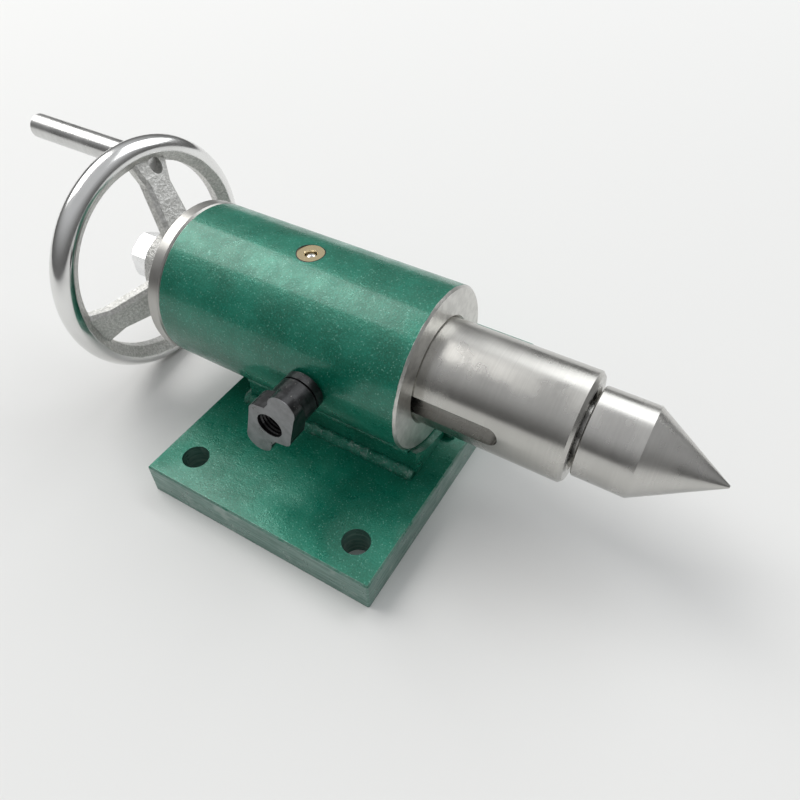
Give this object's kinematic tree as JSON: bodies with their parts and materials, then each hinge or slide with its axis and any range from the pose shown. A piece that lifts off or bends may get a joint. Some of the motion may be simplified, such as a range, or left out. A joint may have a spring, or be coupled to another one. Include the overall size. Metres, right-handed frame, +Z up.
{
  "type": "lathe tailstock",
  "caption": "Small bench lathe tailstock: welded bolt-down base, round barrel, keyed quill with rotating 60 degree centre, cranked feed handwheel, clamp screw and ball oiler.",
  "frame": {"origin": "centre of the base plate's underside, on the bolting surface", "axes": "+X along the quill towards the centre's point, -Y towards the clamp screw, +Z up from the bolting surface"},
  "size_m": [0.3042, 0.14, 0.1],
  "materials": {
    "green_paint": "speckled enamel, worn to bare steel on ground edges",
    "weld": "rough weld beads under thin paint",
    "ground_steel": "ground and turned, satin",
    "black_steel": "black oxide, oiled",
    "wheel_chrome": "rough casting with a polished rim",
    "bright_zinc": "bright zinc plate",
    "handle_chrome": "satin chrome",
    "bearing_steel": "polished",
    "bronze": "turned bronze",
    "brass": "turned brass"
  },
  "bodies": {
    "housing": {"base_plate": "green_paint", "pedestal": "green_paint", "barrel": "green_paint", "foot_welds": "weld", "barrel_welds": "weld", "end_cap": "ground_steel", "cap_screws": "black_steel", "cap_bush": "bronze", "thrust_washer_rear": "bearing_steel", "oiler_body": "brass", "oiler_spring": "ground_steel"},
    "handwheel": {"feed_screw": "ground_steel", "handwheel": "wheel_chrome", "wheel_key": "ground_steel", "wheel_washer": "bright_zinc", "wheel_nut": "bright_zinc", "crank_handle": "handle_chrome", "thrust_washer_front": "bearing_steel", "thrust_needles": "bearing_steel", "thrust_cage": "bearing_steel"},
    "quill": {"quill": "ground_steel", "feed_nut": "bronze", "nut_grub_screw": "black_steel", "rear_bearing_outer_ring": "bearing_steel", "front_bearing_outer_ring": "bearing_steel", "outer_spacer": "ground_steel", "bore_circlip": "black_steel"},
    "centre": {"live_centre": "ground_steel", "rear_bearing_inner_ring": "bearing_steel", "front_bearing_inner_ring": "bearing_steel", "rear_bearing_balls": "bearing_steel", "front_bearing_balls": "bearing_steel", "inner_spacer": "ground_steel", "shaft_circlip": "black_steel"},
    "clamp_pad": {"lock_pad": "brass"},
    "clamp_screw": {"lock_stud": "black_steel", "lock_lever_base": "black_steel"},
    "oiler_ball": {"oiler_ball": "bearing_steel"}
  },
  "joints": [
    {"name": "handwheel_turn", "type": "hinge", "parent": "housing", "child": "handwheel", "pos_m": [-0.0835, 0, 0.05], "axis": [1, 0, 0], "range_deg": [-4140, 360]},
    {"name": "quill_slide", "type": "slide", "parent": "housing", "child": "quill", "axis": [1, 0, 0], "range_m": [-0.0461, 0.0041]},
    {"name": "centre_spin", "type": "hinge", "parent": "quill", "child": "centre", "pos_m": [0.1, 0, 0.05], "axis": [1, 0, 0], "continuous": true},
    {"name": "clamp_feed", "type": "slide", "parent": "housing", "child": "clamp_pad", "axis": [0, 1, 0], "range_m": [-0.0012, 0.0003]},
    {"name": "clamp_turn", "type": "hinge", "parent": "clamp_pad", "child": "clamp_screw", "pos_m": [0.0015, -0.04, 0.05], "axis": [0, 1, 0], "range_deg": [-289, 73]},
    {"name": "oiler_ball_press", "type": "slide", "parent": "housing", "child": "oiler_ball", "axis": [0, 0, -1], "range_m": [0, 0.0012], "stiffness_N_per_m": 250, "springref_m": -0.0004, "deforming": ["oiler_spring"]}
  ],
  "couplings": [
    {"joint": "quill_slide", "follows": "handwheel_turn", "m_per_rad": 0.00063662},
    {"joint": "clamp_turn", "follows": "clamp_feed", "rad_per_m": 4188.8}
  ]
}
